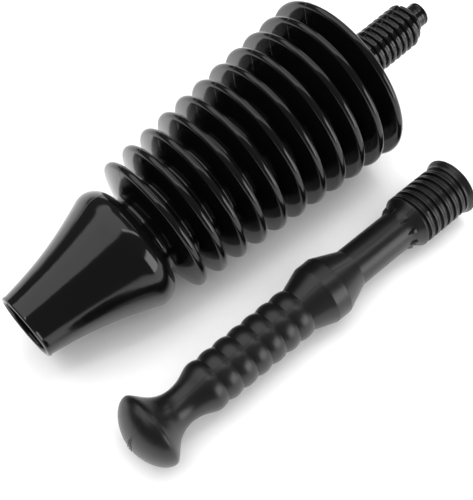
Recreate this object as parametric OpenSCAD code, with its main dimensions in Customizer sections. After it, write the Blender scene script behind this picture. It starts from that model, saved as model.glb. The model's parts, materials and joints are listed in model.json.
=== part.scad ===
// Bellows plunger lying unscrewed: a blow-moulded bellows with a tapered nozzle
// and a threaded stub, and beside it a hollow handle with a screw socket.
// Frame: +X along the bellows towards the stub, +Z up, z = 0 is the floor,
// origin at the bottom centre of the whole layout. Millimetres.

/* [Bellows] */
// Outer radius of the widest fold, next to the stub
head_r = 63.5; // [55:0.5:75]
// Outer radius of the narrowest fold, next to the nozzle
first_r = 50.7; // [44:0.1:54]
// Number of folds, the widest included
fold_count = 11; // [11:1:11]
// Distance from one fold's crest to the next
fold_pitch = 16.6; // [14:0.1:20]
// Radius of the rounded crest of a fold
crest_round = 2.8; // [2.4:0.1:5]
// Depth of the grooves between the folds
groove_depth = 19; // [14:0.5:22]
// Radius of the rounded bottom of a groove
groove_round = 1.6; // [1:0.1:2.5]
// Wall thickness of the folds
wall = 1.8; // [1.2:0.1:2.5]

/* [Nozzle] */
// Distance from the first fold's crest to the mouth
nozzle_len = 107; // [80:1:130]
// Outer radius at the mouth
mouth_r = 24; // [20:0.1:28]
// Inner radius at the mouth
mouth_bore_r = 20.4; // [15:0.1:22]
// Outer radius of the shoulder at the bellows end
shoulder_r = 44.7; // [38:0.5:48]
// Radius of the shoulder's rounded back edge
shoulder_round = 13.2; // [8:0.1:16]
// Wall thickness of the nozzle
nozzle_wall = 2.4; // [1.8:0.1:3]

/* [Threaded stub] */
// Radius over the thread
stub_r = 16.3; // [14:0.1:18]
// Depth of the thread
thread_depth = 2; // [1:0.1:2.2]
// Distance between neighbouring thread ridges
thread_pitch = 5.5; // [5:0.1:7]
// Number of thread ridges on the stub
stub_turns = 8; // [5:1:9]
// Distance from the widest fold's crest to the first ridge
thread_start = 28.1; // [26:0.1:34]
// Radius of the small tip
tip_r = 9; // [6:0.1:10]
// Length of the small tip
tip_len = 8.6; // [8:0.1:16]

/* [Handle] */
// Outer radius of the round end knob
knob_r = 26.4; // [20:0.1:30]
// Radius of the thin neck behind the knob
neck_r = 12.5; // [10:0.1:14]
// Radius over the grip's ribs
grip_r = 17.85; // [15:0.05:20]
// Depth of the grooves between the grip's ribs
grip_groove = 1.55; // [0.8:0.05:2]
// Distance between neighbouring grip ribs
grip_pitch = 12.28; // [10:0.01:14]
// Number of grip ribs
grip_ribs = 7; // [5:1:8]
// Outer radius of the double-cone hand stop
stop_r = 22.3; // [20:0.1:25]
// Outer radius of the plain tube
tube_r = 14.25; // [12:0.1:16]
// Wall thickness of the handle
handle_wall = 2; // [1.5:0.1:2.5]

/* [Socket] */
// Outer radius of the socket's bands
socket_r = 19.85; // [19.3:0.05:21.5]
// Inner radius of the socket
socket_bore_r = 16.7; // [16.1:0.1:17]
// Number of grooves round the socket
socket_grooves = 6; // [4:1:6]
// Distance between neighbouring grooves
socket_pitch = 6.35; // [5:0.05:7]
// Outer radius of the lip at the mouth
lip_r = 21.8; // [21:0.1:23]
// Number of small gussets at the socket's foot
gusset_count = 9; // [6:1:12]

/* [Layout on the floor] */
// Distance between the two axes at the knob
handle_side = 99.6; // [95:1:120]
// Distance from the widest fold back to the knob's crest
knob_back = 253; // [230:1:270]
// Turn of the handle about the vertical, in degrees
handle_yaw = -0.4; // [-1:0.1:0]

/* [Hidden] */
$fn = 96;
black = [0.035, 0.035, 0.04];
satin_black = [0.06, 0.06, 0.065];

// ---- bellows, measured along its axis from the widest fold's crest ----
last = fold_count - 1;                      // folds with a number, the head's own excluded
crest_depth = 6.6;                          // radial depth of a fold's stiff crest
joint_gap = 0.3;                            // clearance between a crest and a web
first_z = -last * fold_pitch;
mouth_z = first_z - nozzle_len;
lip_round = (mouth_r - mouth_bore_r) / 2;
neck_round = 2.8;                           // bottom of the groove behind the nozzle
neck_centre_r = shoulder_r - shoulder_round;
neck_z = first_z - 10.5;
shoulder_z = neck_z - neck_round - shoulder_round;
root_r = stub_r - thread_depth;
root_fillet = 8;
root_z = 22;                                // end of the fillet at the stub's foot
head_end_z = 25;                            // where the head meets the stub
thread_end_z = thread_start + (stub_turns - 1) * thread_pitch;
stub_shoulder_z = thread_end_z + 4.7;
tip_z = stub_shoulder_z + 4.9;
tip_end_z = tip_z + tip_len;

// ---- handle, measured along its axis from the knob's end ----
knob_z = 16.4;                              // crest of the knob
neck_at = 40.6;
knob_cut = 34;
rib_z = 60.9;                               // first rib of the grip
grip_end = rib_z + (grip_ribs - 0.5) * grip_pitch + 1;
stop_edge = grip_end + 16;
stop_edge_2 = stop_edge + 11.1;
tube_z = stop_edge_2 + 19.8;
tube_end = tube_z + 44.3;
socket_z = tube_end + 11.5;
groove_z = socket_z + 7.88;                 // first groove of the socket
lip_z = groove_z + (socket_grooves - 1) * socket_pitch + 3.87;
handle_end = lip_z + 2.6;
lip_edge = 2.6;

// ---- how the two pieces lie ----
taper = (head_r - first_r) / (last * fold_pitch);
tilt = asin(taper);                         // the row of folds rests on the floor
axis_h = (head_r - crest_round) * cos(tilt) + crest_round;
handle_tilt = asin((knob_r - lip_r) / (lip_z - knob_z));
x_low = (mouth_z + lip_round) * cos(tilt) - (mouth_r - lip_round) * sin(tilt) - lip_round;
x_high = tip_end_z * cos(tilt) + (tip_r - 1) * sin(tilt);
x_mid = (x_low + x_high) / 2;
y_mid = (head_r - handle_side - knob_r) / 2;

function two(k) = k < 10 ? str("0", k) : str(k);

// ---- outline helpers: every point is [radius, distance along the axis] ----
function arc(c, r, a, b, n = 8) =
    [for (i = [0:n]) let (t = a + (b - a) * i / n) [c[0] + r * cos(t), c[1] + r * sin(t)]];
function bezier(p, n = 12) =
    [for (i = [0:n]) let (t = i / n, u = 1 - t)
        u*u*u * p[0] + 3*u*u*t * p[1] + 3*u*t*t * p[2] + t*t*t * p[3]];
function inward(points, by) = [for (p = points) [p[0] - by, p[1]]];
function backwards(points) = [for (i = [len(points) - 1:-1:0]) points[i]];

// Slope, from the radial plane, of the line that touches a crest circle and a groove circle
function slope(dr, dz, rounds) = acos(rounds / sqrt(dr*dr + dz*dz)) - atan2(dr, dz);

function crest_r(k) = first_r + (k - 1) * (head_r - first_r) / last;
function fold_z(k) = -(fold_count - k) * fold_pitch;
function groove_centre_r(k) = (crest_r(k) + crest_r(k + 1)) / 2 - groove_depth + groove_round;
function right_slope(k) =
    slope(crest_r(k) - crest_round - groove_centre_r(k), fold_pitch / 2, crest_round + groove_round);
function left_slope(k) = k == 1
    ? slope(first_r - crest_round - neck_centre_r, first_z - neck_z, crest_round + neck_round)
    : slope(crest_r(k) - crest_round - groove_centre_r(k - 1), fold_pitch / 2,
            crest_round + groove_round);
// Distance from a crest's middle to its web's surface, at radius r, at a depth below the surface
function web_z(k, a, depth, r) =
    (crest_round - depth) * cos(a)
    + (crest_r(k) - crest_round + (crest_round - depth) * sin(a) - r) * tan(a);
function cut_r(k) = crest_r(k) - crest_depth;

// ---- outlines of the bellows ----
function crest_outline(k) =
    let (R = crest_r(k), z = fold_z(k), a = right_slope(k), b = left_slope(k), r = cut_r(k),
         c = [R - crest_round, z])
    concat(
        [[r, z - web_z(k, b, 0, r)]],
        arc(c, crest_round, b - 90, 90 - a, 10),
        [[r, z + web_z(k, a, 0, r)], [r, z + web_z(k, a, wall, r)]],
        arc(c, crest_round - wall, 90 - a, b - 90, 8),
        [[r, z - web_z(k, b, wall, r)]]);

function web_outline(k) =
    let (z = fold_z(k), z2 = fold_z(k + 1), a = right_slope(k), b = left_slope(k + 1),
         r = cut_r(k) - joint_gap, r2 = cut_r(k + 1) - joint_gap,
         c = [groove_centre_r(k), z + fold_pitch / 2])
    concat(
        [[r, z + web_z(k, a, 0, r)]],
        arc(c, groove_round, 270 - a, 90 + b, 6),
        [[r2, z2 - web_z(k + 1, b, 0, r2)], [r2, z2 - web_z(k + 1, b, wall, r2)]],
        arc(c, groove_round + wall, 90 + b, 270 - a, 6),
        [[r, z + web_z(k, a, wall, r)]]);

function collar_outline() =
    let (b = left_slope(1), r = cut_r(1) - joint_gap, start = neck_centre_r - joint_gap,
         c = [neck_centre_r, neck_z])
    concat(
        [[start, neck_z - neck_round]],
        arc(c, neck_round, 188, 90 + b, 8),
        [[r, first_z - web_z(1, b, 0, r)], [r, first_z - web_z(1, b, wall, r)]],
        arc(c, neck_round + wall, 90 + b, 188, 8),
        [[start, neck_z - neck_round - wall]]);

// Outside of the nozzle from the mouth to the shoulder, then round its back edge
nozzle_flare = bezier([
    [mouth_r - 0.4, mouth_z + 3],
    [mouth_r + 3.2, mouth_z + 27],
    [mouth_r + 6.9, mouth_z + 45],
    [shoulder_r - shoulder_round * (1 - cos(22)), shoulder_z - shoulder_round * sin(22)]], 16);
function nozzle_outline() =
    let (c = [neck_centre_r, shoulder_z], lip = [mouth_r - lip_round, mouth_z + lip_round])
    concat(
        arc(lip, lip_round, 180, 340, 8),
        nozzle_flare,
        arc(c, shoulder_round, -18, 90, 10),
        arc(c, shoulder_round - nozzle_wall, 90, -18, 10),
        backwards(inward([for (i = [3:len(nozzle_flare) - 1]) nozzle_flare[i]], nozzle_wall)));

function head_outline() =
    let (b = left_slope(fold_count), r = cut_r(fold_count),
         c = [head_r - crest_round, 0], f = [root_r + root_fillet, root_z],
         a = slope(c[0] - f[0], f[1], crest_round + root_fillet))
    concat(
        [[r, -web_z(fold_count, b, 0, r)]],
        arc(c, crest_round, b - 90, 90 - a, 10),
        arc(f, root_fillet, 270 - a, 180, 8),
        [[root_r, head_end_z], [root_r - wall, head_end_z]],
        arc(f, root_fillet + wall, 180, 270 - a, 8),
        arc(c, crest_round - wall, 90 - a, b - 90, 8),
        [[r, -web_z(fold_count, b, wall, r)]]);

// One thread ridge: half its foot, half its flat top
ridge_foot = 1.9;
ridge_top = 1.1;
function stub_outline() = concat(
    [[root_r - wall, head_end_z], [root_r, head_end_z]],
    [for (i = [0:stub_turns - 1]) let (z = thread_start + i * thread_pitch)
        each [[root_r, z - ridge_foot], [stub_r, z - ridge_top],
              [stub_r, z + ridge_top], [root_r, z + ridge_foot]]],
    [[root_r, stub_shoulder_z], [tip_r, tip_z],
     [tip_r, tip_z + 5.2], [tip_r - 0.7, tip_z + 6.2], [tip_r, tip_z + 7.2],
     [tip_r, tip_end_z - 1], [tip_r - 1, tip_end_z], [0, tip_end_z],
     [0, tip_end_z - wall], [tip_r - wall, tip_end_z - wall - 1],
     [tip_r - wall, tip_z - 1], [root_r - wall, stub_shoulder_z - 1]]);

// ---- outlines of the handle ----
dome_power = 1.8;
function dome(r, start, n = 14) =
    [for (i = [0:n]) let (t = 1 - i / n, z = knob_z - (knob_z - start) * sin(90 * t))
        [r * pow(1 - pow((knob_z - z) / (knob_z - start), dome_power), 1 / dome_power), z]];
function upto(points, z) = [for (p = points) if (p[1] < z) p];
function from(points, z) = [for (p = points) if (p[1] > z) p];
knob_back_curve = bezier([[knob_r, knob_z], [knob_r, knob_z + 4.9], [neck_r, knob_z + 8.8],
                          [neck_r, neck_at]], 24);
knob_cut_r = 13.45;
function knob_outline() = concat(
    dome(knob_r, 0),
    upto([for (i = [1:24]) knob_back_curve[i]], knob_cut),
    [[knob_cut_r, knob_cut], [knob_cut_r - handle_wall, knob_cut]],
    backwards(upto(inward([for (i = [1:24]) knob_back_curve[i]], handle_wall), knob_cut)),
    backwards(dome(knob_r - handle_wall, handle_wall)));

rib_radius = (pow(grip_pitch / 2, 2) + pow(grip_groove, 2)) / (2 * grip_groove);
rib_angle = asin(grip_pitch / 2 / rib_radius);
function rib(i) =
    arc([grip_r - rib_radius, rib_z + i * grip_pitch], rib_radius, i == 0 ? 0 : -rib_angle,
        rib_angle, 6);
grip_outside = concat(
    [[knob_cut_r, knob_cut]],
    from(knob_back_curve, knob_cut),
    [for (i = [1:12]) bezier([[neck_r, neck_at], [neck_r, neck_at + 10.4],
        [grip_r, rib_z - 5.9], [grip_r, rib_z]], 12)[i]],
    [for (i = [0:grip_ribs - 1]) each rib(i)],
    [[grip_r - grip_groove + 0.3, grip_end]]);
function grip_outline() = concat(
    grip_outside,
    [[grip_r - grip_groove + 0.3 - handle_wall, grip_end],
     [grip_r - grip_groove - handle_wall, rib_z], [neck_r - handle_wall, neck_at + 6],
     [neck_r - handle_wall, neck_at - 2], [knob_cut_r - handle_wall, knob_cut]]);

function stop_outline() =
    let (out = [[grip_r - grip_groove + 0.3, grip_end], [stop_r, stop_edge],
                [stop_r, stop_edge_2], [tube_r, tube_z]])
    concat(out, backwards(inward(out, handle_wall)));

// Outside of the flare between the tube and the socket
flare = bezier([[tube_r, tube_end], [tube_r, tube_end + 5.5],
                [socket_r - 2.2, socket_z - 3.2], [socket_r, socket_z]], 8);
groove_half = 1.2;
groove_cut = 1.15;
function socket_outline() = concat(
    flare,
    [for (i = [0:socket_grooves - 1]) let (z = groove_z + i * socket_pitch)
        each [[socket_r, z - groove_half], [socket_r - groove_cut, z],
              [socket_r, z + groove_half]]],
    arc([lip_r - lip_edge, lip_z], lip_edge, -40, 90, 8),
    [[socket_bore_r + 0.6, handle_end], [socket_bore_r, handle_end - 1],
     [socket_bore_r, socket_z + 2], [tube_r - handle_wall, socket_z - 3],
     [tube_r - handle_wall, tube_end]]);

// ---- placing ----
module along_bellows() {
    translate([-x_mid, -y_mid, axis_h]) rotate([0, 90 - tilt, 0]) children();
}
module along_handle() {
    translate([-x_mid - knob_back, -y_mid - handle_side, knob_r])
        rotate([0, 0, handle_yaw]) rotate([0, 90 + handle_tilt, 0])
            translate([0, 0, -knob_z]) children();
}

// ---- bellows ----
module nozzle_shell() {
    color(black) along_bellows() rotate_extrude() polygon(nozzle_outline());
}
module nozzle_collar() {
    color(black) along_bellows() rotate_extrude() polygon(collar_outline());
}
module fold_crest(k) {
    color(black) along_bellows() rotate_extrude() polygon(crest_outline(k));
}
module fold_web(k) {
    color(black) along_bellows() rotate_extrude() polygon(web_outline(k));
}
module head_shell() {
    color(black) along_bellows() rotate_extrude() polygon(head_outline());
}
module threaded_stub() {
    color(black) along_bellows() rotate_extrude() polygon(stub_outline());
}

// ---- handle ----
module end_knob() {
    color(satin_black) along_handle() rotate_extrude() polygon(knob_outline());
}
module ribbed_grip() {
    color(satin_black) along_handle() rotate_extrude() polygon(grip_outline());
}
module hand_stop() {
    color(satin_black) along_handle() rotate_extrude() polygon(stop_outline());
}
module handle_tube() {
    color(satin_black) along_handle() translate([0, 0, tube_z])
        difference() {
            cylinder(r = tube_r, h = tube_end - tube_z);
            translate([0, 0, -1]) cylinder(r = tube_r - handle_wall, h = tube_end - tube_z + 2);
        }
}
gusset_t = 1.6;
module gusset() {
    rotate([90, 0, 0]) translate([0, 0, -gusset_t / 2]) linear_extrude(gusset_t)
        polygon([[tube_r - 1, tube_end], [tube_r, tube_end], [tube_r + 2, tube_end + 5],
                 [tube_r + 2.4, tube_end + 7.5], [tube_r - 0.5, tube_end + 7.5]]);
}
module screw_socket() {
    color(satin_black) along_handle() {
        rotate_extrude() polygon(socket_outline());
        for (i = [0:gusset_count - 1]) rotate([0, 0, (i + 0.7) * 360 / gusset_count]) gusset();
    }
}

nozzle_shell();
nozzle_collar();
head_shell();
threaded_stub();
for (k = [1:last]) fold_crest(k);
for (k = [1:last]) fold_web(k);
end_knob();
ribbed_grip();
hand_stop();
handle_tube();
screw_socket();
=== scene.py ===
import json
import math

import bpy
from mathutils import Matrix, Vector


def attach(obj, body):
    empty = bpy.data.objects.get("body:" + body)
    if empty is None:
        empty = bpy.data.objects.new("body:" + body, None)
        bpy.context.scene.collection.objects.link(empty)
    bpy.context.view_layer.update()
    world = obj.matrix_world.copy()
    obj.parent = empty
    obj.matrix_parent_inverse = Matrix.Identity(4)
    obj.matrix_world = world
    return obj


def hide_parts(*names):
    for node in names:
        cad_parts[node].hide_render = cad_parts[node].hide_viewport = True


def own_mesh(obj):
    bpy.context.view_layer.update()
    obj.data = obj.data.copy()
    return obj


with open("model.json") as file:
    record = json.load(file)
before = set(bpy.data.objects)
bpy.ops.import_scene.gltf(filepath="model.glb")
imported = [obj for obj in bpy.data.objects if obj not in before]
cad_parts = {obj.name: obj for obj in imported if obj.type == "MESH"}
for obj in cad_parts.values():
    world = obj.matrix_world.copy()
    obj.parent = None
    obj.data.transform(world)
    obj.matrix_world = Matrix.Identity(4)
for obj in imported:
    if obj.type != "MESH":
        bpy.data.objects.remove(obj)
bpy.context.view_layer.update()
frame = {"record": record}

# ---------------------------------------------------------------------------
# Camera: a short telephoto, high over the nozzle's end, that looks down along
# both pieces as they lie side by side on the floor.
# ---------------------------------------------------------------------------
camera_place = Vector((-0.2360, -0.2372, 0.5840))
camera_forward = Vector((0.3166, 0.3591, -0.8780))
camera_down = Vector((-0.5843, -0.6553, -0.4787))
film_long_side = 36.0
lens_in_long_sides = 1.8674

bpy.ops.object.select_all(action="DESELECT")
bpy.ops.object.camera_add(location=camera_place)
camera = bpy.context.object
camera_right = camera_down.cross(camera_forward).normalized()
camera_up = camera_right.cross(camera_forward).normalized()
camera.rotation_euler = Matrix((camera_right, camera_up, -camera_forward)).transposed().to_euler()
camera.data.sensor_width = film_long_side
camera.data.lens = lens_in_long_sides * film_long_side
camera.data.clip_start = 0.01
bpy.context.scene.camera = camera

# ---------------------------------------------------------------------------
# Studio: white paper on the floor under a tent of soft boxes: a wall, a ceiling
# and a strip of light, and low boxes in front and beyond the stub. Two lights
# overhead whiten the paper without showing in the gloss.
# ---------------------------------------------------------------------------
def soft_box(name, place, target, width, height, radiance, seen_in_gloss=True):
    """A rectangle of light that faces the target."""
    bpy.ops.object.light_add(type="AREA", location=place)
    box = bpy.context.object
    box.name = name
    box.data.shape = "RECTANGLE"
    box.data.size = width
    box.data.size_y = height
    box.data.energy = radiance * math.pi * width * height
    box.rotation_euler = (Vector(target) - Vector(place)).to_track_quat("-Z", "Y").to_euler()
    box.visible_glossy = seen_in_gloss


class Reading:
    """A socket's value. Sums and products of readings add Math nodes."""

    def __init__(self, finish, socket):
        self.finish = finish
        self.socket = socket

    def maths(self, operation, first, second):
        return self.finish.node("ShaderNodeMath", {"operation": operation}, {0: first, 1: second})

    def __add__(self, other):
        return self.maths("ADD", self, other)

    def __radd__(self, other):
        return self.maths("ADD", other, self)

    def __sub__(self, other):
        return self.maths("SUBTRACT", self, other)

    def __mul__(self, other):
        return self.maths("MULTIPLY", self, other)


class Finish:
    """A material under construction, node by node."""

    def __init__(self, name):
        self.material = bpy.data.materials.new(name)
        self.material.use_nodes = True
        self.tree = self.material.node_tree
        self.tree.nodes.clear()

    def node(self, kind, settings, values, output=0):
        """Adds a node: its settings first, then a value or a reading for each socket."""
        node = self.tree.nodes.new(kind)
        for setting, value in settings.items():
            setattr(node, setting, value)
        for socket, value in values.items():
            if isinstance(value, Reading):
                self.tree.links.new(value.socket, node.inputs[socket])
            else:
                node.inputs[socket].default_value = value
        return Reading(self, node.outputs[output]) if node.outputs else None

    def place(self):
        return self.node("ShaderNodeTexCoord", {}, {}, "Object")

    def noise(self, size, detail=2.0, roughness=0.5):
        """Soft noise whose blotches are about this many metres across."""
        return self.node("ShaderNodeTexNoise", {}, {"Vector": self.place(), "Scale": 1.0 / size,
                                                    "Detail": detail, "Roughness": roughness})

    def between(self, value, low, high):
        """0 where the value is under low, 1 where it is over high."""
        return self.node("ShaderNodeMapRange", {"interpolation_type": "SMOOTHSTEP"},
                         {"Value": value, "From Min": low, "From Max": high})

    def blend(self, share, first, second):
        return self.node("ShaderNodeMix", {"data_type": "RGBA"},
                         {0: share, 6: first, 7: second}, 2)

    def bump(self, height, strength, depth):
        return self.node("ShaderNodeBump", {}, {"Height": height, "Strength": strength,
                                                "Distance": depth})

    def surface(self, values):
        shader = self.node("ShaderNodeBsdfPrincipled", {}, values)
        self.node("ShaderNodeOutputMaterial", {}, {"Surface": shader})
        return self.material


paper = Finish("white_paper")
paper_white = (0.9, 0.9, 0.9, 1)
paper_shade = (0.88, 0.88, 0.88, 1)
white_paper = paper.surface({
    "Base Color": paper.blend(paper.noise(0.4), paper_white, paper_shade),
    "Roughness": 0.9,
    "Specular IOR Level": 0.1,
})

bpy.ops.object.select_all(action="DESELECT")
bpy.ops.mesh.primitive_grid_add(x_subdivisions=8, y_subdivisions=8, size=16.0, location=(0, 0, 0))
floor = bpy.context.object
floor.name = "floor"
floor.data.materials.append(white_paper)

soft_box("rear_wall", (-0.35, 1.8, 1.65), (-0.35, 0, 1.65), 3.3, 1.1, 1.4)
soft_box("ceiling", (-0.35, 0.87, 2.2), (-0.35, 0.87, 0), 3.3, 1.86, 1.4)
soft_box("key_strip", (1.05, -0.25, 2.1), (0, 0, 0), 0.2, 2.4, 4.0)
soft_box("front_box", (0.55, -1.35, 0.5), (0.1, 0, 0.05), 1.1, 0.9, 3.6)
soft_box("far_box", (1.7, 0.45, 0.6), (0.1, 0, 0.05), 1.0, 1.0, 1.6)
soft_box("paper_light", (0, -0.1, 1.3), (0, -0.1, 0), 1.8, 1.8, 1.65, seen_in_gloss=False)
soft_box("horizon_light", (0, 0, 4.0), (0, 0, 0), 12.0, 12.0, 0.45, seen_in_gloss=False)

studio_air = bpy.data.worlds.new("studio_air")
bpy.context.scene.world = studio_air
studio_air.use_nodes = True
studio_air.node_tree.nodes["Background"].inputs["Color"].default_value = (1, 1, 1, 1)
studio_air.node_tree.nodes["Background"].inputs["Strength"].default_value = 0.12
bpy.context.scene.view_settings.view_transform = "Standard"

# ---------------------------------------------------------------------------
# Nozzle: the tapered mouth of the bellows, blow-moulded in one with the folds
# from glossy black plastic. Its mouth is rolled to a round edge and trimmed a
# little askew, and the two halves of the mould leave a fine raised line.
# ---------------------------------------------------------------------------
mm = 0.001


class Line:
    """The axis of round pieces, with distances along it and out from it in millimetres."""

    def __init__(self, mount, at, seam):
        fixed = next(m for m in frame["record"]["mounts"] if m["name"] == mount)
        self.direction = Vector(fixed["axis"]).normalized()
        self.start = Vector(fixed["pos_m"]) - self.direction * (at * mm)
        side = Vector((0, -1, 0))
        self.side = (side - self.direction * side.dot(self.direction)).normalized()
        self.above = self.side.cross(self.direction)
        if self.above.z < 0:
            self.above = -self.above
        self.seam = math.radians(seam)

    def across(self, angle):
        """The direction away from the line, at an angle from the mould line."""
        turn = self.seam + angle
        return self.side * math.cos(turn) + self.above * math.sin(turn)

    def point(self, out, along, angle=0.0):
        return self.start + (self.direction * along + self.across(angle) * out) * mm

    def angle(self, place):
        """The angle of a place round the line, from the mould line, from -pi to pi."""
        reach = place - self.start
        turn = math.atan2(reach.dot(self.above), reach.dot(self.side)) - self.seam
        return (turn + math.pi) % (2 * math.pi) - math.pi

    def along(self, place):
        return (place - self.start).dot(self.direction) / mm

    def out(self, place):
        reach = place - self.start
        return (reach - self.direction * reach.dot(self.direction)).length / mm


def arc(centre, radius, first, last, count=12):
    """Points (out, along) on an arc; 0 degrees points out from the axis."""
    turns = [math.radians(first + (last - first) * i / count) for i in range(count + 1)]
    return [(centre[0] + radius * math.cos(t), centre[1] + radius * math.sin(t)) for t in turns]


def curve(a, b, c, d, count=24):
    """Points on the smooth curve from a to d that b and c pull at."""
    points = []
    for i in range(count + 1):
        t = i / count
        shares = ((1 - t) ** 3, 3 * t * (1 - t) ** 2, 3 * t * t * (1 - t), t ** 3)
        points.append(tuple(sum(s * p[n] for s, p in zip(shares, (a, b, c, d))) for n in (0, 1)))
    return points


def thinner(points, wall):
    """The inner side of a wall that follows these points, in the opposite order."""
    return [(out - wall, along) for out, along in reversed(points)]


seam_half_width = 0.5
seam_height = 0.14


def turned(name, outline, line, hollow=True, seam=seam_height, steps=88):
    """Turns an outline of (out, along) points round a line and raises its mould lines."""
    bpy.ops.object.select_all(action="DESELECT")
    path = outline + outline[:1] if hollow else outline
    places = [line.point(out, along) for out, along in path]
    bpy.ops.mesh.primitive_plane_add(size=0.001, location=places[0])
    piece = bpy.context.object
    piece.name = name
    bpy.ops.object.mode_set(mode="EDIT")
    bpy.ops.mesh.merge(type="CENTER")
    for here, there in zip(places, places[1:]):
        bpy.ops.mesh.extrude_region_move(TRANSFORM_OT_translate={"value": there - here})
    bpy.ops.mesh.select_all(action="SELECT")
    band = seam_half_width / max(out for out, along in outline)
    rest = math.pi - 2 * band
    for angle, count in ((band, 2), (rest, steps), (2 * band, 4), (rest, steps), (band, 2)):
        bpy.ops.mesh.spin(steps=count, angle=angle, center=line.start, axis=line.direction)
    bpy.ops.mesh.select_all(action="SELECT")
    bpy.ops.mesh.remove_doubles(threshold=2e-6)
    bpy.ops.mesh.normals_make_consistent(inside=False)
    bpy.ops.object.mode_set(mode="OBJECT")
    bpy.ops.object.transform_apply(location=True, rotation=True, scale=True)
    if seam:
        raise_seam(piece, line, band / 3, seam)
    return piece


def raise_seam(piece, line, near, height):
    """Lifts the outer points that lie on the mould lines."""
    bpy.ops.object.mode_set(mode="EDIT")
    bpy.ops.mesh.select_all(action="DESELECT")
    bpy.ops.mesh.select_mode(type="VERT")
    bpy.ops.object.mode_set(mode="OBJECT")
    for point in piece.data.vertices:
        turn = line.angle(point.co)
        away = point.co - line.start
        away -= line.direction * away.dot(line.direction)
        on_seam = min(abs(turn), math.pi - abs(turn)) < near
        point.select = on_seam and away.length > 2 * mm and point.normal.dot(away) > 0
    bpy.ops.object.mode_set(mode="EDIT")
    bpy.ops.transform.shrink_fatten(value=height * mm)
    bpy.ops.mesh.select_all(action="DESELECT")
    bpy.ops.object.mode_set(mode="OBJECT")


def fitted(piece, material, body, slot, *nodes):
    """Smooths a piece, gives it its plastic and fixes it to its body in its nodes' place."""
    bpy.ops.object.select_all(action="DESELECT")
    piece.select_set(True)
    bpy.context.view_layer.objects.active = piece
    bpy.ops.object.shade_smooth_by_angle(angle=math.radians(32))
    piece.data.materials.clear()
    piece.data.materials.append(material)
    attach(piece, body)
    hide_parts(*nodes)


glossy = Finish("glossy_black_plastic")
flow = glossy.noise(0.045, 3.0)
ripple = glossy.noise(0.007, 1.0)
grain = glossy.noise(0.0011, 2.0)
rubbed = glossy.between(glossy.noise(0.018, 6.0, 0.65), 0.6, 0.74)
dust = glossy.between(glossy.noise(0.0009, 3.0, 0.7), 0.74, 0.8)
glossy_black = (0.0022, 0.0022, 0.0024, 1)
rubbed_black = (0.006, 0.006, 0.0062, 1)
dust_grey = (0.05, 0.05, 0.048, 1)
glossy_plastic = glossy.surface({
    "Base Color": glossy.blend(dust * 0.6, glossy.blend(rubbed * 0.5 + flow * 0.3, glossy_black,
                                                        rubbed_black), dust_grey),
    "Roughness": 0.1 + flow * 0.06 + rubbed * 0.06 + dust * 0.2,
    "Normal": glossy.bump(ripple * 0.7 + grain * 0.06, 0.25, 0.0003),
    "IOR": 1.5,
})

stub_mount_along = 47.35
bellows_seam_turn = 118
bellows = Line("threaded_stub_end", stub_mount_along, bellows_seam_turn)
fold_pitch = 16.6
fold_count = 11
widest_r = 63.5
narrowest_r = 50.7
first_z = (1 - fold_count) * fold_pitch
mouth_r = 24.0
mouth_bore_r = 20.4
lip_round = (mouth_r - mouth_bore_r) / 2
nozzle_length = 107
mouth_z = first_z - nozzle_length
nozzle_wall = 2.4
shoulder_r = 44.7
shoulder_round = 13.2
neck_round = 2.8
neck_r = shoulder_r - shoulder_round
neck_z = first_z - 10.5
shoulder_z = neck_z - neck_round - shoulder_round

flare = curve((mouth_r - 0.4, mouth_z + 3), (mouth_r + 3.2, mouth_z + 27),
              (mouth_r + 6.9, mouth_z + 45),
              (shoulder_r - shoulder_round * (1 - math.cos(math.radians(22))),
               shoulder_z - shoulder_round * math.sin(math.radians(22))), 40)
shoulder_at = (neck_r, shoulder_z)
nozzle = turned("nozzle", (
    arc((mouth_r - lip_round, mouth_z + lip_round), lip_round, 180, 340, 16)
    + flare
    + arc(shoulder_at, shoulder_round, -18, 90, 28)
    + arc(shoulder_at, shoulder_round - nozzle_wall, 90, -18, 20)
    + thinner(flare[6:], nozzle_wall)
), bellows)
trim_reach = 30
trim_slant = 0.06
trim_short_turn = 62
trim_turn = math.radians(trim_short_turn - bellows_seam_turn)
for point in nozzle.data.vertices:
    near_mouth = 1 - (bellows.along(point.co) - mouth_z) / trim_reach
    if near_mouth > 0:
        reach = (point.co - bellows.start).dot(bellows.across(trim_turn))
        point.co += bellows.direction * (trim_slant * reach * near_mouth ** 2)
fitted(nozzle, glossy_plastic, "nozzle", "bellows_plastic", "nozzle_shell")

# ---------------------------------------------------------------------------
# Folds: ten round crests, blown in one with thin webs that dip between them.
# The webs of the real bellows bend as it is pushed; here each one is a piece
# of its own, and the crests keep their shape and slide.
# ---------------------------------------------------------------------------
crest_round = 2.8
crest_depth = 6.6
groove_depth = 19.0
groove_round = 1.6
fold_wall = 1.8
stroke_per_fold = 6.5


def slope(fall, run, rounds):
    """Slope, from square to the axis, of a line that touches a crest and a groove."""
    return (math.degrees(math.acos(rounds / math.hypot(fall, run)))
            - math.degrees(math.atan2(fall, run)))


def crest_r(k):
    return narrowest_r + (k - 1) * (widest_r - narrowest_r) / (fold_count - 1)


def fold_z(k):
    return (k - fold_count) * fold_pitch


def groove_r(k):
    """Middle of the groove's round bottom, between folds k and k + 1."""
    return (crest_r(k) + crest_r(k + 1)) / 2 - groove_depth + groove_round


def right_slope(k):
    return slope(crest_r(k) - crest_round - groove_r(k), fold_pitch / 2,
                 crest_round + groove_round)


def left_slope(k):
    if k == 1:
        return slope(crest_r(1) - crest_round - neck_r, first_z - neck_z,
                     crest_round + neck_round)
    return slope(crest_r(k) - crest_round - groove_r(k - 1), fold_pitch / 2,
                 crest_round + groove_round)


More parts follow.
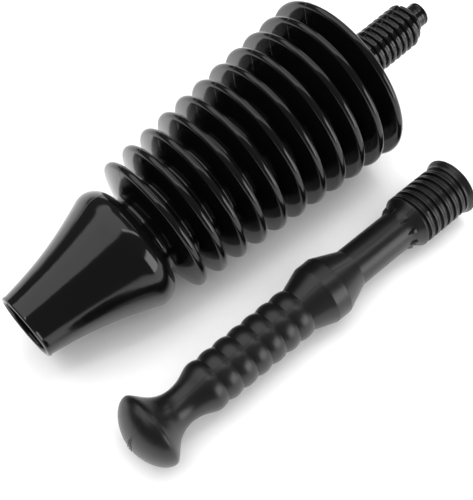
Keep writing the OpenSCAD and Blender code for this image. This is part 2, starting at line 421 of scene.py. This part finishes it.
def web_reach(k, tilt, depth, out):
    """From a crest's middle to its web, as far out as this, at a depth under the surface."""
    turn = math.radians(tilt)
    left = crest_round - depth
    return left * math.cos(turn) + (crest_r(k) - crest_round + left * math.sin(turn)
                                    - out) * math.tan(turn)


def cut_r(k):
    """Where a crest ends and its webs begin."""
    return crest_r(k) - crest_depth


def between_points(first, last, count):
    return [tuple(a + (b - a) * i / count for a, b in zip(first, last)) for i in range(1, count)]


def crest_side(k, depth, count):
    """The outline of a crest at a depth under its surface, from left web to right web."""
    centre = (crest_r(k) - crest_round, fold_z(k))
    a, b, out = right_slope(k), left_slope(k), cut_r(k)
    return ([(out, fold_z(k) - web_reach(k, b, depth, out))]
            + arc(centre, crest_round - depth, b - 90, 90 - a, count)
            + [(out, fold_z(k) + web_reach(k, a, depth, out))])


def web_side(k, depth, count):
    """The outline of the web between folds k and k + 1, from left to right."""
    a, b = right_slope(k), left_slope(k + 1)
    left, right = cut_r(k), cut_r(k + 1)
    start = (left, fold_z(k) + web_reach(k, a, depth, left))
    end = (right, fold_z(k + 1) - web_reach(k + 1, b, depth, right))
    dip = arc((groove_r(k), fold_z(k) + fold_pitch / 2), groove_round + depth,
              270 - a, 90 + b, count)
    return ([start] + between_points(start, dip[0], 4) + dip
            + between_points(dip[-1], end, 4) + [end])


def flattening(piece, first, last):
    """Gives a web a mesh of its own."""
    keep = (last - first - stroke_per_fold) / (last - first)
    tuple(bellows.point(0, last))
    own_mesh(piece)


for k in range(1, fold_count):
    crest = turned(f"crest_fold_{k:02d}",
                   crest_side(k, 0, 22) + crest_side(k, fold_wall, 10)[::-1], bellows)
    fitted(crest, glossy_plastic, f"fold_{k:02d}", "bellows_plastic", f"crest_{k:02d}")

for k in range(1, fold_count):
    surface = web_side(k, 0, 12)
    web = turned(f"groove_web_{k:02d}", surface + web_side(k, fold_wall, 8)[::-1], bellows)
    fitted(web, glossy_plastic, f"fold_{k + 1:02d}" if k < fold_count - 1 else "head",
           "bellows_plastic", f"web_{k:02d}")
    flattening(web, surface[0][1], surface[-1][1])

# ---------------------------------------------------------------------------
# Nozzle's neck: the first web, thinner than the rest of the nozzle, that runs
# from behind the shoulder to the narrowest fold.
# ---------------------------------------------------------------------------
def neck_side(depth, count):
    b, out = left_slope(1), cut_r(1)
    dip = arc((neck_r, neck_z), neck_round + depth, 270, 90 + b, count)
    end = (out, first_z - web_reach(1, b, depth, out))
    return dip + between_points(dip[-1], end, 4) + [end]


surface = neck_side(0, 16)
neck = turned("nozzle_neck", surface + neck_side(fold_wall, 10)[::-1], bellows)
fitted(neck, glossy_plastic, "fold_01", "bellows_plastic", "nozzle_collar")
flattening(neck, surface[0][1], surface[-1][1])

# ---------------------------------------------------------------------------
# Head: the widest fold, whose far side closes in a shallow cone and runs in a
# fillet up to the hollow threaded stub. It is the end that the handle pushes.
# ---------------------------------------------------------------------------
root_r = 14.3
foot_fillet = 8.0
foot_z = 22.0
stub_z = 25.0
foot_at = (root_r + foot_fillet, foot_z)
left_tilt = left_slope(fold_count)
right_tilt = slope(widest_r - crest_round - foot_at[0], foot_z, crest_round + foot_fillet)


def head_side(depth, count):
    out = cut_r(fold_count)
    crest = arc((widest_r - crest_round, 0), crest_round - depth, left_tilt - 90,
                90 - right_tilt, count)
    foot = arc(foot_at, foot_fillet + depth, 270 - right_tilt, 180, count)
    return ([(out, -web_reach(fold_count, left_tilt, depth, out))] + crest
            + between_points(crest[-1], foot[0], 6) + foot + [(root_r - depth, stub_z)])


head = turned("head_end", head_side(0, 20) + head_side(fold_wall, 10)[::-1], bellows)
fitted(head, glossy_plastic, "head", "bellows_plastic", "head_shell")

# ---------------------------------------------------------------------------
# Threaded stub: a hollow screw that the handle's socket turns onto, moulded in
# one with the head. Its thread is a blunt helix with tapered ends that dips at
# the mould lines; beyond it is the small pinched-off tip.
# ---------------------------------------------------------------------------
stub_r = 16.3
thread_pitch = 5.5
thread_turns = 8.0
thread_start = 27.0
shoulder_end = 71.3
tip_r = 9.0
tip_z = shoulder_end + 4.9
tip_end = tip_z + 8.6
stub = turned("threaded_stub", [
    (root_r - fold_wall, stub_z), (root_r, stub_z), (root_r, stub_z + 1),
    (root_r, shoulder_end - 1)]
    + arc((root_r - 1, shoulder_end - 0.7), 1, 0, 50, 5)
    + arc((tip_r + 0.8, tip_z - 0.8), 0.8, 250, 180, 4)
    + [(tip_r, tip_z + 0.4), (tip_r, tip_z + 2.6), (tip_r - 0.3, tip_z + 2.9),
       (tip_r - 0.3, tip_z + 3.2), (tip_r, tip_z + 3.5), (tip_r, tip_z + 5.2),
       (tip_r - 0.55, tip_z + 5.7), (tip_r - 0.7, tip_z + 6.2), (tip_r - 0.55, tip_z + 6.7),
       (tip_r, tip_z + 7.2)]
    + arc((tip_r - 1, tip_end - 1), 1, 0, 90, 6)
    + [(0, tip_end), (0, tip_end - fold_wall), (tip_r - fold_wall, tip_end - fold_wall - 1),
       (tip_r - fold_wall, tip_z - 1), (root_r - fold_wall, shoulder_end - 1),
       (root_r - fold_wall, stub_z)], bellows, hollow=False)


def screw_ridge(line, outline, pitch, start, turns, first_turn):
    """A right-handed helical ridge with this outline, whose ends taper into its root."""
    bpy.ops.object.select_all(action="DESELECT")
    bpy.ops.mesh.primitive_circle_add(vertices=len(outline), radius=1.0, location=(0, 0, 0))
    ridge = bpy.context.object
    for point, (out, along) in zip(ridge.data.vertices, outline):
        point.co = (out * mm, 0, along * mm)
    steps_per_turn = 120
    screw = ridge.modifiers.new("thread", "SCREW")
    screw.angle = 2 * math.pi * turns
    screw.screw_offset = pitch * turns * mm
    screw.steps = screw.render_steps = round(steps_per_turn * turns)
    bpy.ops.object.modifier_apply(modifier="thread")
    across = line.across(math.radians(first_turn) - line.seam)
    ridge.matrix_world = Matrix.Translation(line.point(0, start)) @ Matrix(
        (across, line.direction.cross(across), line.direction)).transposed().to_4x4()
    bpy.ops.object.transform_apply(location=True, rotation=True, scale=True)
    root, rings = outline[0][0], round(steps_per_turn * turns)
    taper = 14
    bpy.ops.object.mode_set(mode="EDIT")
    bpy.ops.mesh.fill_holes(sides=0)
    for ring in range(taper):
        for place in (ring, rings - ring):
            bpy.ops.mesh.select_all(action="DESELECT")
            bpy.ops.object.mode_set(mode="OBJECT")
            own = ridge.data.vertices[place * len(outline):(place + 1) * len(outline)]
            for point in own:
                point.select = True
            outer = max(own, key=lambda point: abs(line.out(point.co) - root))
            turn = line.angle(outer.co)
            sink = (root - line.out(outer.co)) * (1 - ring / taper) ** 2
            bpy.ops.object.mode_set(mode="EDIT")
            bpy.ops.transform.translate(value=line.across(turn) * (sink * mm))
    bpy.ops.mesh.select_all(action="SELECT")
    bpy.ops.mesh.normals_make_consistent(inside=False)
    bpy.ops.object.mode_set(mode="OBJECT")
    return ridge


def ridge_outline(root, crest, foot, bluntness=3.0, count=12):
    """A rounded ridge from a root radius to a crest radius; a high bluntness flattens its top."""
    shares = [2 * i / count - 1 for i in range(count + 1)]
    return [(root + (crest - root) * (1 - abs(share) ** bluntness) ** 0.6, foot * share)
            for share in shares]


facing_turn = 63
sunk = 0.4
facing_ridge = 31.8
thread_half = 1.85
dip_reach = 4.6
dip_depth = 1.1
thread = screw_ridge(bellows, ridge_outline(root_r - sunk, stub_r, thread_half),
                     thread_pitch, thread_start, thread_turns,
                     facing_turn + 360 * (facing_ridge - thread_start) / thread_pitch)
bpy.ops.object.mode_set(mode="EDIT")
bpy.ops.mesh.select_all(action="DESELECT")
for mould_line in (0.0, math.pi):
    bpy.ops.object.mode_set(mode="OBJECT")
    for point in thread.data.vertices:
        turn = abs(bellows.angle(point.co))
        point.select = (abs(turn - mould_line) < math.radians(dip_reach)
                        and bellows.out(point.co) > root_r)
    bpy.ops.object.mode_set(mode="EDIT")
    bpy.ops.transform.translate(value=bellows.across(mould_line) * (-dip_depth * mm))
    bpy.ops.mesh.select_all(action="DESELECT")
bpy.ops.object.mode_set(mode="OBJECT")


def joined(whole, *parts):
    """Makes these parts one piece with the whole."""
    bpy.ops.object.select_all(action="DESELECT")
    for part in parts:
        part.select_set(True)
    whole.select_set(True)
    bpy.context.view_layer.objects.active = whole
    bpy.ops.object.join()


joined(stub, thread)
fitted(stub, glossy_plastic, "head", "bellows_plastic", "threaded_stub")

# ---------------------------------------------------------------------------
# End knob: the low dome that fills the palm, blown in one with the handle from
# satin black plastic. The mould pinched the tube off at the dome's middle and
# left a scar of short ridges along its parting line.
# ---------------------------------------------------------------------------
satin = Finish("satin_black_plastic")
skin = satin.noise(0.03, 3.0)
texture = satin.noise(0.0007, 2.0, 0.6)
handled = satin.between(satin.noise(0.012, 5.0, 0.6), 0.58, 0.72)
lint = satin.between(satin.noise(0.0008, 3.0, 0.7), 0.75, 0.8)
satin_black = (0.0045, 0.0045, 0.0047, 1)
handled_black = (0.008, 0.008, 0.0082, 1)
lint_grey = (0.06, 0.06, 0.058, 1)
satin_plastic = satin.surface({
    "Base Color": satin.blend(lint * 0.5, satin.blend(skin * 0.4 + handled * 0.3, satin_black,
                                                      handled_black), lint_grey),
    "Roughness": 0.28 + skin * 0.08 - handled * 0.05,
    "Normal": satin.bump(texture, 0.3, 0.00012),
    "IOR": 1.48,
})

socket_mount_along = 270.52
handle_seam_turn = 87
handle = Line("handle_socket", socket_mount_along, handle_seam_turn)
handle_wall = 2.0
handle_seam = 0.07
knob_r = 26.4
knob_z = 16.4
grip_neck_r = 12.5
grip_neck_z = 40.6
knob_cut = 34.0
knob_cut_r = 13.45
dome_power = 1.8


def dome(radius, start, count=26):
    """A low dome from its middle, on the axis, out to its widest ring."""
    points = []
    for i in range(count + 1):
        left = math.sin(math.radians(90 * (1 - i / count)))
        points.append((radius * (1 - left ** dome_power) ** (1 / dome_power),
                       knob_z - (knob_z - start) * left))
    return points


knob_back = curve((knob_r, knob_z), (knob_r, knob_z + 4.9), (grip_neck_r, knob_z + 8.8),
                  (grip_neck_r, grip_neck_z), 48)
to_cut = [p for p in knob_back[1:] if p[1] < knob_cut] + [(knob_cut_r, knob_cut)]
knob = turned("end_knob", dome(knob_r, 0) + to_cut + thinner(to_cut, handle_wall)
              + dome(knob_r - handle_wall, handle_wall, 14)[::-1], handle, False, handle_seam)


def raised_line(line, places, width, height):
    """A thin raised line along places (out, along, angle), pointed at both ends."""
    bpy.ops.object.select_all(action="DESELECT")
    bpy.ops.mesh.primitive_plane_add(size=0.001, location=line.point(*places[0]))
    ridge = bpy.context.object
    bpy.ops.object.mode_set(mode="EDIT")
    bpy.ops.mesh.merge(type="CENTER")
    for here, there in zip(places, places[1:]):
        step = line.point(*there) - line.point(*here)
        bpy.ops.mesh.extrude_region_move(TRANSFORM_OT_translate={"value": step})
    bpy.ops.object.mode_set(mode="OBJECT")
    body = ridge.modifiers.new("body", "SKIN")
    body.use_smooth_shade = True
    for i, point in enumerate(ridge.data.skin_vertices[0].data):
        share = math.sin(math.pi * (i + 0.3) / (len(places) - 0.4))
        point.radius = (width / 2 * share * mm, height * share * mm)
    bpy.ops.object.modifier_apply(modifier="body")
    bpy.ops.object.transform_apply(location=True, rotation=True, scale=True)
    return ridge


def dome_place(reach, aside):
    """A place on the dome, this far from its middle along the mould line and to its side."""
    out = math.hypot(reach, aside)
    along = knob_z - knob_z * (1 - (out / knob_r) ** dome_power) ** (1 / dome_power)
    return out, along, math.atan2(aside, reach)


scar_width = 0.9
scar_height = 0.55
scar_lines = ((0.0, 0.0, -6.5, 17.0), (1.5, -0.06, -3.5, 11.5), (-1.6, 0.07, -4.5, 8.0),
              (2.8, -0.12, 3.0, 14.5))
scar = []
for aside, drift, first, last in scar_lines:
    reaches = [first + (last - first) * i / 9 for i in range(10)]
    scar.append(raised_line(handle, [dome_place(reach, aside + drift * reach)
                                     for reach in reaches], scar_width, scar_height))
joined(knob, *scar)
fitted(knob, satin_plastic, "handle", "handle_plastic", "end_knob")

# ---------------------------------------------------------------------------
# Ribbed grip: seven low, round ribs that meet in sharp valleys, behind a neck
# that the fingers close round. It is one hollow blown tube with the knob.
# ---------------------------------------------------------------------------
grip_r = 17.85
grip_groove = 1.55
grip_pitch = 12.28
grip_ribs = 7
rib_z = 60.9
grip_end = rib_z + (grip_ribs - 0.5) * grip_pitch + 1
grip_end_r = grip_r - grip_groove + 0.3
rib_radius = ((grip_pitch / 2) ** 2 + grip_groove ** 2) / (2 * grip_groove)
rib_angle = math.degrees(math.asin(grip_pitch / 2 / rib_radius))

grip_outside = [(knob_cut_r, knob_cut)] + [p for p in knob_back if p[1] > knob_cut]
grip_outside += curve((grip_neck_r, grip_neck_z), (grip_neck_r, grip_neck_z + 10.4),
                      (grip_r, rib_z - 5.9), (grip_r, rib_z), 24)[1:]
for i in range(grip_ribs):
    rib = arc((grip_r - rib_radius, rib_z + i * grip_pitch), rib_radius,
              -rib_angle if i else 0, rib_angle, 14)
    grip_outside += rib[1:]
grip_outside.append((grip_end_r, grip_end))
grip = turned("ribbed_grip", grip_outside + [
    (grip_end_r - handle_wall, grip_end), (grip_r - grip_groove - handle_wall, rib_z),
    (grip_neck_r - handle_wall, grip_neck_z + 6), (grip_neck_r - handle_wall, grip_neck_z - 2),
    (knob_cut_r - handle_wall, knob_cut)], handle, True, handle_seam)
fitted(grip, satin_plastic, "handle", "handle_plastic", "ribbed_grip")

# ---------------------------------------------------------------------------
# Hand stop: a double cone that keeps the hand from sliding down the tube. Its
# two edges are crisp but rounded over, as the mould leaves them.
# ---------------------------------------------------------------------------
stop_r = 22.3
stop_edge = grip_end + 16
stop_edge_2 = stop_edge + 11.1
tube_r = 14.25
tube_z = stop_edge_2 + 19.8
stop_round = 0.9


def rounded(before, corner, after, reach, count=5):
    """Points that round off a corner between two neighbours."""
    ends = []
    for other in (before, after):
        run = math.hypot(other[0] - corner[0], other[1] - corner[1])
        ends.append(tuple(c + (o - c) * reach / run for c, o in zip(corner, other)))
    return curve(ends[0], corner, corner, ends[1], count)


stop_path = [(grip_end_r, grip_end), (stop_r, stop_edge), (stop_r, stop_edge_2), (tube_r, tube_z)]
stop_outside = (stop_path[:1] + rounded(*stop_path[0:3], stop_round)
                + rounded(*stop_path[1:4], stop_round) + stop_path[3:])
stop = turned("hand_stop", stop_outside + thinner(stop_path, handle_wall), handle, True,
              handle_seam)
fitted(stop, satin_plastic, "handle", "handle_plastic", "hand_stop")

# ---------------------------------------------------------------------------
# Tube: the plain hollow stretch between the hand stop and the socket, blown in
# one with both from the same satin black plastic.
# ---------------------------------------------------------------------------
tube_length = 44.3
tube_end = tube_z + tube_length
tube_path = [(tube_r, tube_z + (tube_end - tube_z) * i / 10) for i in range(11)]
tube = turned("handle_tube", tube_path + thinner(tube_path, handle_wall), handle, True,
              handle_seam)
fitted(tube, satin_plastic, "handle", "handle_plastic", "handle_tube")

# ---------------------------------------------------------------------------
# Screw socket: a wide sleeve that turns onto the threaded stub. A flat, creased
# band winds round its outside and a helix round its bore, nine small gussets
# stiffen its foot, and its mouth is rolled out to a thick lip.
# ---------------------------------------------------------------------------
socket_r = 19.85
bore_r = 16.7
core_r = 17.9
socket_z = tube_end + 11.5
lip_r = 21.8
mouth_end = socket_z + 46.1
lip_z = mouth_end - 2.6

foot = curve((tube_r, tube_end), (tube_r, tube_end + 5.5), (socket_r - 2.2, socket_z - 3.2),
             (socket_r - 0.3, socket_z), 20)
socket = turned("screw_socket", foot
                + arc((socket_r - 0.45, socket_z + 0.75), 0.4, -20, 90, 4)
                + arc((core_r + 0.5, socket_z + 1.65), 0.5, 270, 180, 4)
                + [(core_r, lip_z - 5.0)]
                + arc((core_r + 0.6, lip_z - 4.4), 0.6, 180, 110, 4)
                + arc((socket_r - 0.6, lip_z - 3.2), 0.6, -50, 0, 4)
                + curve((socket_r + 0.05, lip_z - 2.6), (socket_r + 0.3, lip_z - 1.4),
                        (lip_r - 0.9, lip_z - 1.0), (lip_r - 0.4, lip_z + 0.1), 8)
                + [(lip_r - 0.55, lip_z + 0.45)]
                + arc((lip_r - 0.85, mouth_end - 0.95), 0.95, -60, 90, 10)
                + [(bore_r + 0.6, mouth_end), (bore_r + 0.15, mouth_end - 0.25),
                   (bore_r, mouth_end - 1), (bore_r, socket_z + 2),
                   (tube_r - handle_wall, socket_z - 3), (tube_r - handle_wall, tube_end)],
                handle, True, handle_seam)

band_pitch = 6.15
band_half = 1.7
band_start = socket_z + 2.8
band_turns = 5.66
band_first_turn = 192
band = screw_ridge(handle, [
    (core_r - sunk, -band_half), (socket_r - 0.25, -band_half + 0.15),
    (socket_r, -band_half + 0.45), (socket_r, -0.2), (socket_r - 0.4, 0.15), (socket_r, 0.5),
    (socket_r, band_half - 0.45), (socket_r - 0.25, band_half - 0.15),
    (core_r - sunk, band_half)], band_pitch, band_start, band_turns, band_first_turn)

gusset_count = 9
gusset_turn = 82
gusset_outline = [(tube_r - 1, tube_end - 0.3), (tube_r + 0.2, tube_end - 0.2),
                  (tube_r + 2.3, tube_end + 3.4), (tube_r + 2.8, tube_end + 5.6),
                  (tube_r - 0.5, tube_end + 5.8)]
gusset_halves = (0.3, 0.3, 1.3, 1.5, 1.5)
gusset_edge = 0.2
gussets = []
for i in range(gusset_count):
    turn = math.radians(gusset_turn + i * 360 / gusset_count) - handle.seam
    sideways = handle.direction.cross(handle.across(turn)) * mm
    bpy.ops.object.select_all(action="DESELECT")
    bpy.ops.mesh.primitive_circle_add(vertices=len(gusset_outline), radius=1.0,
                                      location=(0, 0, 0), fill_type="NGON")
    gusset = bpy.context.object
    bpy.ops.object.mode_set(mode="EDIT")
    bpy.ops.mesh.select_all(action="SELECT")
    bpy.ops.mesh.extrude_region_move(TRANSFORM_OT_translate={"value": (0, 0, 1)})
    bpy.ops.object.mode_set(mode="OBJECT")
    for n, point in enumerate(gusset.data.vertices):
        out, along = gusset_outline[n % len(gusset_outline)]
        half = gusset_halves[n % len(gusset_outline)]
        point.co = handle.point(out, along, turn) + sideways * (half if point.co.z > 0.5
                                                                else -half)
    bpy.ops.object.mode_set(mode="EDIT")
    bpy.ops.mesh.select_all(action="SELECT")
    bpy.ops.mesh.normals_make_consistent(inside=False)
    bpy.ops.mesh.bevel(offset=gusset_edge * mm, segments=2, affect="EDGES")
    bpy.ops.object.mode_set(mode="OBJECT")
    gussets.append(gusset)

bore_thread_depth = 1.3
bore_thread_half = 1.3
bore_thread_start = socket_z + 7
bore_thread_turns = 6.2
bore_thread = screw_ridge(handle, ridge_outline(bore_r + sunk, bore_r - bore_thread_depth,
                                                bore_thread_half),
                          thread_pitch, bore_thread_start, bore_thread_turns, facing_turn)
joined(socket, band, bore_thread, *gussets)
fitted(socket, satin_plastic, "handle", "handle_plastic", "screw_socket")
